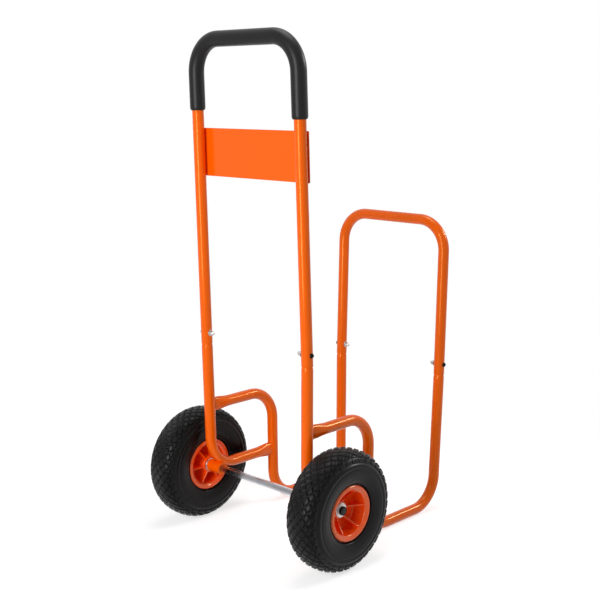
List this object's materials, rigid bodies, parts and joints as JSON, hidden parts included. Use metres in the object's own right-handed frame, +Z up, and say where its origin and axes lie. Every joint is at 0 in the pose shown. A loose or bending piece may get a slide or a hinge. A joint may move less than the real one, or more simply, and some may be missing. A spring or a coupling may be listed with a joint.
{
  "type": "fireside log cart",
  "caption": "Two-wheeled firewood cart of bent steel tube: tall foam-gripped handle with a sheet plate, lower front loop, bent side frames and pneumatic tyres on a through axle.",
  "frame": {"origin": "middle of the bounding box's floor: halfway across the cart, halfway along it, on the floor", "axes": "+X to the cart's right as seen from behind the handle, +Y from the handle towards the front loop, +Z up; the axle runs along X"},
  "size_m": [0.5218, 0.573, 1.1045],
  "materials": {
    "orange_paint": "glossy orange powder coat on steel",
    "orange_plastic": "orange moulded plastic with a soft sheen",
    "black_foam": "fine closed-cell black foam, satin",
    "tyre_rubber": "black tyre rubber",
    "inner_tube_rubber": "matte black butyl rubber",
    "black_plastic": "black plastic",
    "black_steel": "black-finished steel screw",
    "bare_steel": "plain drawn steel",
    "zinc_plate": "bright zinc plate",
    "brass": "dull brass"
  },
  "bodies": {
    "frame": {"handle_tube": "orange_paint", "foam_grip": "black_foam", "handle_plate": "orange_paint", "rear_tube_left": "orange_paint", "rear_tube_right": "orange_paint", "axle_lug_left": "orange_paint", "axle_lug_right": "orange_paint", "side_tube_left": "orange_paint", "side_tube_right": "orange_paint", "front_loop": "orange_paint", "joint_screw_rear_left": "black_steel", "joint_washer_rear_left": "zinc_plate", "acorn_nut_rear_left": "zinc_plate", "joint_screw_rear_right": "black_steel", "joint_washer_rear_right": "zinc_plate", "acorn_nut_rear_right": "zinc_plate", "joint_screw_front_left": "black_steel", "joint_washer_front_left": "zinc_plate", "acorn_nut_front_left": "zinc_plate", "joint_screw_front_right": "black_steel", "joint_washer_front_right": "zinc_plate", "acorn_nut_front_right": "zinc_plate", "axle": "bare_steel", "axle_washer_inner_left": "zinc_plate", "axle_washer_outer_left": "zinc_plate", "axle_cap_left": "black_plastic", "axle_washer_inner_right": "zinc_plate", "axle_washer_outer_right": "zinc_plate", "axle_cap_right": "black_plastic"},
    "wheel_left": {"tyre_left": "tyre_rubber", "inner_tube_left": "inner_tube_rubber", "rim_left": "orange_plastic", "hub_bush_outer_left": "zinc_plate", "hub_bush_inner_left": "zinc_plate", "valve_stem_left": "brass", "valve_cap_left": "black_plastic"},
    "wheel_right": {"tyre_right": "tyre_rubber", "inner_tube_right": "inner_tube_rubber", "rim_right": "orange_plastic", "hub_bush_outer_right": "zinc_plate", "hub_bush_inner_right": "zinc_plate", "valve_stem_right": "brass", "valve_cap_right": "black_plastic"}
  },
  "joints": [
    {"name": "wheel_left_spin", "type": "hinge", "parent": "frame", "child": "wheel_left", "pos_m": [-0.2195, -0.15647, 0.13], "axis": [1, 0, 0], "continuous": true},
    {"name": "wheel_right_spin", "type": "hinge", "parent": "frame", "child": "wheel_right", "pos_m": [0.2195, -0.15647, 0.13], "axis": [1, 0, 0], "continuous": true}
  ]
}
